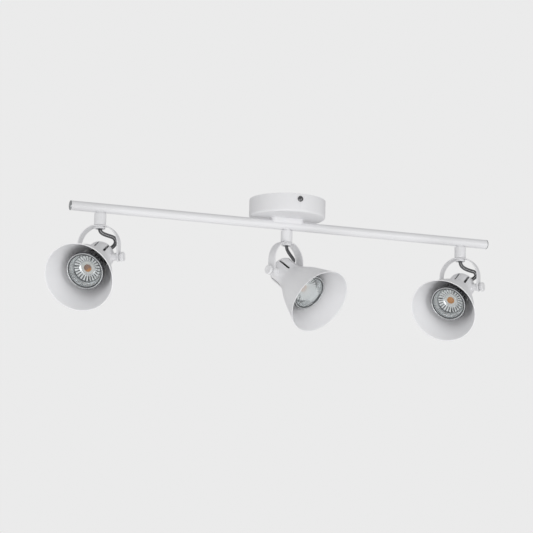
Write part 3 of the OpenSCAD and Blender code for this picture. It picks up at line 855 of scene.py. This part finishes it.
curve = []
for i in range(1, len(SHADE) - 2):
    for k in range(7):
        t = k / 7
        curve.append(tuple(through(*(SHADE[i + j][c] for j in (-1, 0, 1, 2)), t) for c in (1, 0)))
outer = [(r, MOUTH_Z + d) for r, d in curve] + [(HR, MOUTH_Z + 68.5)]
outer += [(HR, z) for z in (-7.5, -5, -2.5, 0, 2.5, 5)]
rear = rounded([(HR, 6, 0), (HR, REAR_Z, 2.6), (5, REAR_Z, 0.3), (5, REAR_Z - ST, 0.3), (HR - ST, REAR_Z - ST, 1.6), (HR - ST, 6, 0)], 6)
inner = [(r - ST, z) for r, z in reversed(outer[1:])]
lip = [(mouth_r - ST - 0.02, MOUTH_Z + 0.35), (mouth_r - ST + 0.12, MOUTH_Z + 0.02), (mouth_r - ST + 0.38, MOUTH_Z - 0.16), (mouth_r - 0.5, MOUTH_Z - 0.19), (mouth_r - 0.18, MOUTH_Z - 0.1)]
v, f = revolve(outer + rear + inner + lip, 192)
shade0 = mesh_object("shade_local", v, f, [WHITE_LAMPSHADE_PAINTED_LIGHT], sharp=40)
slots = []
for a in (45, 90, 135, 225, 270, 315):
    v, f = prism([(y, z) for y, z in stadium(0, -3.15, 23.6, 2.9)], 10, 25, "X")
    slots.append((placed(v, Matrix.Rotation(math.radians(a), 4, "Z")), f))
cut = mesh_object("cut", *join(*slots), [WHITE_LAMPSHADE_PAINTED_LIGHT])
carve(shade0, cut)
cut = mesh_object("cut", *prism(circle(3.05, 32), -30, 30, "X"), [WHITE_LAMPSHADE_PAINTED_LIGHT])
carve(shade0, cut)
tidy(shade0.data, 33)

# ---------------------------------------------------------------- small head pieces, built once
GX = Matrix(((0, 0, 1, 0), (0, 1, 0, 0), (-1, 0, 0, 0), (0, 0, 0, 1)))  # local Z becomes X
boss0 = mesh_object("boss_local", *(lambda vf: (placed(vf[0], GX), vf[1]))(revolve(rounded([(2.1, 16.9, 0), (5.0, 16.9, 0), (5.0, BOW_R - BOW_T - 0.3, 0.45), (2.1, BOW_R - BOW_T - 0.3, 0.2)], 4), 56)), [WHITE], sharp=38)
KX = BOW_R + 0.3


def scallop(a, i, r, z):
    if r > 5.0 and z > KX + 2.4:
        return r - 0.42 * (0.5 - 0.5 * math.cos(15 * a)) ** 3 * (1 if r > 6 else 0.6), z
    return r, z


knob = [(0, KX + 6.45), (2.6, KX + 6.45), (3.0, KX + 6.55), (3.3, KX + 6.7), (5.2, KX + 6.68), (5.75, KX + 6.55), (6.15, KX + 6.2), (6.3, KX + 5.8), (6.3, KX + 4.6), (6.3, KX + 3.4), (6.15, KX + 3.0), (5.75, KX + 2.65),
        (5.3, KX + 2.52), (3.5, KX + 2.5), (3.25, KX + 2.3), (3.2, KX + 0.3), (3.05, KX + 0.02), (1.98, KX), (1.98, 20), (0, 20)]
v, f = revolve(knob, 180, closed=False, shape=scallop)
knob0 = mesh_object("knob_local", placed(v, GX), f, [WHITE], sharp=38)
bush = rounded([(3.7, REAR_Z + 1.5, 0.5), (6.6, REAR_Z + 1.5, 0.7), (6.6, REAR_Z + 0.02, 0.2), (4.95, REAR_Z + 0.02, 0), (4.95, REAR_Z - ST, 0), (6.2, REAR_Z - ST, 0.2), (6.2, REAR_Z - ST - 1.2, 0.5), (3.7, REAR_Z - ST - 1.2, 0.3)], 4)
bush0 = mesh_object("bush_local", *revolve(bush, 56), [RUBBER], sharp=40)

# ---------------------------------------------------------------- reflector lamp, built once
body_line = [(9.7, -14.2), (12.6, -14.2), (13.3, -14.7), (13.7, -15.6), (14.2, -20.5)]
body_line += [(14.5, -21.4), (14.9, -22.6), (16.2, -27), (17.6, -31.4), (19.2, -36), (20.7, -40.4), (22.0, -44.5), (22.7, -47.0)]
body_line += [(23.2, -48.2), (23.6, -50), (24.0, -51.4), (24.0, -51.95), (22.3, -51.95)]


def finned(a, i, r, z):
    if -47.2 < z < -22.4:
        ph = (a / TAU * 26) % 1.0
        return (r - 1.5 if ph > 0.58 else r), z
    return r, z


SEG = 26 * 8
v, f = revolve(body_line, SEG, closed=False, shape=finned)
# faces in the recesses between the fins take the near-black copy: painted shade in the slots
which = []
for fc in f:
    c = [sum(v[i][k] for i in fc) / len(fc) for k in range(3)]
    line_r = None
    ph = (math.atan2(c[1], c[0]) % TAU) / TAU * 26 % 1.0
    which.append(1 if (-46.9 < c[2] < -22.8 and ph > 0.57) else 0)
sink0 = mesh_object("sink_local", v, f, [SINK, SINK_SLOT_PAINTED_SHADE], which, sharp=30)

# reflector: a ribbed outer band, a step painted dark as shade, a ring of teeth painted bright white as reflection with
# gaps painted dark as shade, a smooth throat
N, SUB = 24, 5
BAND = [(22.2, -51.7), (20.4, -48.3), (18.7, -46.2), (17.9, -45.75), (17.1, -45.3), (14.2, -43.9), (11.0, -42.95), (8.95, -42.45)]
verts, faces, which = [], [], []
for j, (r, z) in enumerate(BAND):
    for k in range(N * SUB):
        a = TAU * (k + 0.25 * (j in (5, 6))) / (N * SUB)
        part = k % SUB
        dz = 0.0
        if j in (0, 1, 2):
            dz = 0.16 * (1 if part % 2 else -1) * (0 if j == 0 else 1)
        if j in (5,):
            dz = -0.8 if part < 3 else 0.1
        verts.append((r * math.cos(a), r * math.sin(a), z + dz))
for j in range(len(BAND) - 1):
    A, B = j * N * SUB, (j + 1) * N * SUB
    for k in range(N * SUB):
        k2 = (k + 1) % (N * SUB)
        faces.append((A + k, A + k2, B + k2, B + k))
        # the step (rows 2, 3) takes index 1, painted shade; across the teeth (rows 4, 5) index 2 is painted highlight
        # and index 1 painted shade in the gaps
        if j in (0, 1):
            which.append(0)
        elif j in (2, 3):
            which.append(1)
        elif j in (4, 5):
            which.append(1 if k % SUB > 2 or (k // SUB) % 7 == 5 and k % SUB == 2 else 2)
        else:
            which.append(0)
bowl0 = mesh_object("bowl_local", verts, faces, [CELL, REFLECTOR_PAINTED_SHADE, REFLECTOR_PAINTED_HIGHLIGHT], which, sharp=1, flat=True)

led = [(0, -44.0), (2.8, -43.95), (4.1, -43.78), (4.8, -43.5), (5.1, -43.05), (5.1, -42.15), (0, -42.15)]
led0 = mesh_object("led_local", *revolve(led, 48, closed=False), [PHOSPHOR], sharp=50)
board = rounded([(5.15, -42.2, 0), (5.15, -43.15, 0.2), (7.7, -43.2, 0.25), (7.9, -42.5, 0.2), (8.9, -42.45, 0.2), (8.9, -41.4, 0)], 3)
board0 = mesh_object("board_local", *revolve(board, 56), [LED_BOARD], sharp=40)


def fluted(a, i, r, z):
    if 16 < r < 21.4 and z > -53.5:
        return r, z + 0.22 * math.cos(60 * a)
    return r, z


lens = [(0, -52.45), (6, -52.5), (12, -52.5), (16.5, -52.4), (19, -52.4), (21.2, -52.4), (21.4, -52.6), (21.4, -54.3), (21.0, -54.65), (18.6, -54.85), (9.4, -54.85), (8.6, -54.5), (8.0, -54.0), (4, -53.85), (0, -53.8)]
lens0 = mesh_object("lens_local", *revolve(lens, 240, closed=False, shape=fluted), [COVER], sharp=30)
# a near-black ring filling the gap between lens and rim, painted shadow for the dark line there
lens_shadow_outline = rounded([(21.45, -52.3, 0), (21.45, -54.55, 0.2), (22.75, -54.75, 0.2), (22.75, -52.3, 0)], 3)
lens_shadow_ring0 = mesh_object("gasket_local", *revolve(lens_shadow_outline, 120), [LENS_GAP_PAINTED_SHADOW], sharp=40)
rim = rounded([(22.8, -52.0, 0), (24.75, -52.0, 0.3), (25.0, -53.2, 0.3), (24.95, -54.5, 0.45), (24.35, -55.25, 0.35), (23.75, -55.2, 0.15), (23.62, -54.75, 0.1), (23.5, -55.1, 0.12), (22.95, -55.0, 0.2), (22.8, -54.6, 0.1)], 4)
v, f = revolve(rim, 144)
# faces beyond r 24.25 take the near-black copy: the rim's outer edge painted as a shadow line
which = [1 if min(math.hypot(v[i][0], v[i][1]) for i in fc) > 24.25 else 0 for fc in f]
rim0 = mesh_object("rim_local", v, f, [RIM, RIM_EDGE_PAINTED_SHADE], which, sharp=50)

# ---------------------------------------------------------------- twin leads
TURN = {
    "left": ((18.6, 11.5, 26), (0.75, 0.45, -0.42), (-0.02, 0.15, -1), 3.6, 7, 6, 8),
    "centre": ((21.5, 4, 18.8), (0.7, 0.1, -0.7), (-0.15, 0.85, -0.5), 4.2, 7, 5, 6),
    "right": ((18.6, 14, 23.6), (0.8, 0.5, -0.22), (-0.02, 0.15, -1), 3.6, 9, 7, 7),
}


def bezier(a, b, c, d, t):
    return (1 - t) ** 3 * a + 3 * t * (1 - t) ** 2 * b + 3 * t * t * (1 - t) * c + t ** 3 * d


def route(h, tilt):
    """Middle line of a pair of leads in its bow frame: nipple, outward run, corner, rear bushing."""
    c, u, v, reach, h0, h1, h2 = TURN[h]
    c, u, v = Vector(c), Vector(u).normalized(), Vector(v).normalized()
    a, b = c - u * reach, c + v * reach
    behind = lambda d: Vector((0, math.sin(tilt) * d, math.cos(tilt) * d))
    start = Vector((0.5, 0, 37))
    pts = [Vector((0.5, 0, z)) for z in (46, 44, 42, 40.2, 38.6)]
    pts += [bezier(start, start - Vector((0, 0, h0)), a - u * h1, a, k / 26) for k in range(26)]
    pts += [bezier(a, a + u * reach * 0.55, b - v * reach * 0.55, b, k / 12) for k in range(12)]
    pts += [bezier(b, b + v * h2, behind(25), behind(12.5), k / 28) for k in range(28)]
    pts += [behind(12.5), behind(11.2), behind(9.9), behind(8.6)]
    return pts


def sleeve(name, pts, side, r, bow):
    n, sides = len(pts), 18
    tang = [(pts[min(i + 1, n - 1)] - pts[max(i - 1, 0)]).normalized() for i in range(n)]
    verts, line, length = [], [], [0.0]
    for i in range(n):
        x = Vector((-tang[i].z, 0, tang[i].x)).normalized()
        y = tang[i].cross(x)
        c = pts[i] + side * x
        line.append(c)
        if i:
            length.append(length[-1] + (c - line[-2]).length)
        for k in range(sides):
            a = TAU * k / sides
            verts.append(c + r * (math.cos(a) * x + math.sin(a) * y))
    faces, uvs = [], []
    around = TAU * r
    for i in range(n - 1):
        for k in range(sides):
            k2 = (k + 1) % sides
            faces.append((i * sides + k, (i + 1) * sides + k, (i + 1) * sides + k2, i * sides + k2))
            u0, u1 = k / sides * 2, (k + 1) / sides * 2
            v0, v1 = length[i] / around * 2, length[i + 1] / around * 2
            uvs.append([(u0, v0), (u0, v1), (u1, v1), (u1, v0)])
    for base, order in ((0, 1), ((n - 1) * sides, -1)):
        faces.append(tuple(range(base, base + sides))[::order])
        uvs.append([(0, 0)] * sides)
    world = placed(verts, bow)
    o = mesh_object(name, world, faces, [LEAD], sharp=50, uvs=uvs)
    return o, [tuple((bow @ p) * MM) for p in line], length[-1] * MM


FLIP = Matrix.Rotation(math.pi, 4, "Z")
lengths = {}
for h in HEADS:
    bow, head, tilt = head_frames(h)
    swivel, hb, lamp = f"{h}_swivel", f"{h}_head", f"{h}_lamp"
    done(copy_at(bow0, f"{h}_bow_strip", bow), swivel, "white_powder_coat", f"{h}_bow")
    done(copy_at(shade0, f"{h}_bell_shade", head), hb, "white_powder_coat", f"{h}_shade")
    done(copy_at(bush0, f"{h}_cable_bushing", head), hb, "bushing_rubber", f"{h}_rear_bushing")
    done(copy_at(boss0, f"{h}_boss_outer", head), hb, "white_powder_coat", f"{h}_pivot_bosses")
    done(copy_at(boss0, f"{h}_boss_inner", head @ FLIP), hb, "white_powder_coat")
    done(copy_at(knob0, f"{h}_knob_outer", head), f"{h}_screw_outer", "white_powder_coat", f"{h}_thumbscrew_outer")
    done(copy_at(knob0, f"{h}_knob_inner", head @ FLIP), f"{h}_screw_inner", "white_powder_coat", f"{h}_thumbscrew_inner")
    turn = head @ Matrix.Rotation(math.radians({"left": 4, "centre": 10, "right": 7}[h]), 4, "Z")
    done(copy_at(sink0, f"{h}_lamp_sink", turn), lamp, "bulb_aluminium", f"{h}_bulb_body")
    done(copy_at(bowl0, f"{h}_lamp_reflector", turn), lamp, "bulb_aluminium")
    done(copy_at(led0, f"{h}_lamp_chip", turn), lamp, "led_phosphor", f"{h}_bulb_led")
    done(copy_at(board0, f"{h}_lamp_board", turn), lamp, "bulb_plastic")
    done(copy_at(lens0, f"{h}_lamp_cover", turn), lamp, "bulb_glass", f"{h}_bulb_lens")
    done(copy_at(lens_shadow_ring0, f"{h}_lamp_gasket", turn), lamp, "bulb_plastic")
    done(copy_at(rim0, f"{h}_lamp_rim", turn), lamp, "chrome_plate", f"{h}_bulb_rim")
    pts = route(h, tilt)
    first = None
    for s, nm in ((-1, "a"), (1, "b")):
        o, line, length = sleeve(f"{h}_lead_{nm}", pts, 1.4 * s, 1.25, bow)
        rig.blend(o, swivel, hb, start=tuple((bow @ Vector((0.5, 0, 35))) * MM), end=tuple((bow @ pts[-4]) * MM))
        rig.slot(o, "lead_sleeve")
        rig.cord(o, exit=line[0], length=length, diameter=0.0025, far_end="object", stiffness="limp", lay="loose", path=line)
        if s < 0:
            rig.replaces(o, f"{h}_leads")
        lengths[o.name] = round(length, 4)
for o in (bow0, shade0, boss0, knob0, bush0, sink0, bowl0, led0, board0, lens0, lens_shadow_ring0, rim0):
    local_only(o)

# ---------------------------------------------------------------- CAD nodes that stay
KEEP = {"mounting_plate": ZINC, "terminal_block": TERMINAL, "terminal_screws": BRASS, "bar_nipple": ZINC, "bar_nipple_nut": ZINC, "internal_leads": RUBBER}
for h in HEADS:
    KEEP[f"{h}_lamp_holder"] = HOLDER_CERAMIC_PAINTED_SHADE
    KEEP[f"{h}_holder_spacer"] = ZINC
    KEEP[f"{h}_bulb_base"] = LAMP_PLASTIC
for n, mat in KEEP.items():
    o = nodes[n]
    o.data.materials.clear()
    o.data.materials.append(mat)

# ---------------------------------------------------------------- surroundings and light
BACK = 0.83
world = bpy.data.worlds.new("studio")
scene.world = world
world.use_nodes = True
wn = world.node_tree
wn.nodes.clear()
wo = wn.nodes.new("ShaderNodeOutputWorld")
bg = wn.nodes.new("ShaderNodeBackground")
bg.inputs[0].default_value = (1.0, 1.0, 1.0, 1)
bg.inputs[1].default_value = 0.50
wn.links.new(bg.outputs[0], wo.inputs[0])


def stage_material(name, glow, diffuse):
    mt = bpy.data.materials.new(name)
    mt.use_nodes = True
    nt = mt.node_tree
    nt.nodes.clear()
    out = nt.nodes.new("ShaderNodeOutputMaterial")
    b = nt.nodes.new("ShaderNodeBsdfPrincipled")
    b.inputs["Base Color"].default_value = (diffuse, diffuse, diffuse, 1)
    b.inputs["Roughness"].default_value = 1.0
    b.inputs["Specular IOR Level"].default_value = 0.0
    b.inputs["Emission Color"].default_value = (1, 1, 1, 1)
    b.inputs["Emission Strength"].default_value = glow
    nt.links.new(b.outputs[0], out.inputs[0])
    return mt


def dome(radius, mat):
    bm = bmesh.new()
    bmesh.ops.create_icosphere(bm, subdivisions=4, radius=radius)
    for fc in bm.faces:
        fc.normal_flip()
        fc.smooth = True
    me = bpy.data.meshes.new("backdrop")
    bm.to_mesh(me)
    bm.free()
    me.materials.append(mat)
    o = bpy.data.objects.new("backdrop", me)
    scene.collection.objects.link(o)
    return o


backdrop = dome(18.0, stage_material("backdrop", BACK, 0.0))
for flag in ("visible_diffuse", "visible_glossy", "visible_transmission", "visible_volume_scatter", "visible_shadow"):
    setattr(backdrop, flag, False)
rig.stage(backdrop)
floor_me = bpy.data.meshes.new("floor")
floor_me.from_pydata([(x, y, -2.5) for x, y in circle(9.0, 64)], [], [tuple(range(64))])
floor_me.materials.append(stage_material("floor", BACK - 0.1, 0.14))
floor = bpy.data.objects.new("floor", floor_me)
scene.collection.objects.link(floor)
floor.visible_diffuse = False
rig.stage(floor)


def area(name, place, aim, size, power, colour=(1, 1, 1)):
    d = bpy.data.lights.new(name, "AREA")
    d.shape, d.size, d.energy, d.color = "DISK", size, power, colour
    o = bpy.data.objects.new(name, d)
    o.location = place
    o.rotation_mode = "QUATERNION"
    o.rotation_quaternion = (Vector(aim) - Vector(place)).to_track_quat("-Z", "Y")
    scene.collection.objects.link(o)
    return o


MID = Vector((0, 0, -0.08))
Z = Vector((0, 0, 1))
area("key", MID + 1.8 * right + 0.1 * Z - 2.2 * look, MID, 1.0, 14)
area("front", MID - 0.1 * right - 0.4 * Z - 3.1 * look, MID, 2.2, 16)
area("low", MID + 0.2 * right - 1.9 * Z - 1.9 * look, MID, 2.0, 23)
area("left", MID - 2.8 * right - 0.5 * Z - 0.9 * look, MID, 1.6, 13)

size = {"cad": [list(CAD_LOW), list(CAD_HIGH)], "visual": [list(c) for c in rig.bounds()], "lead_lengths_m": lengths}
with open("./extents.json", "w") as fh:
    json.dump(size, fh, indent=1)
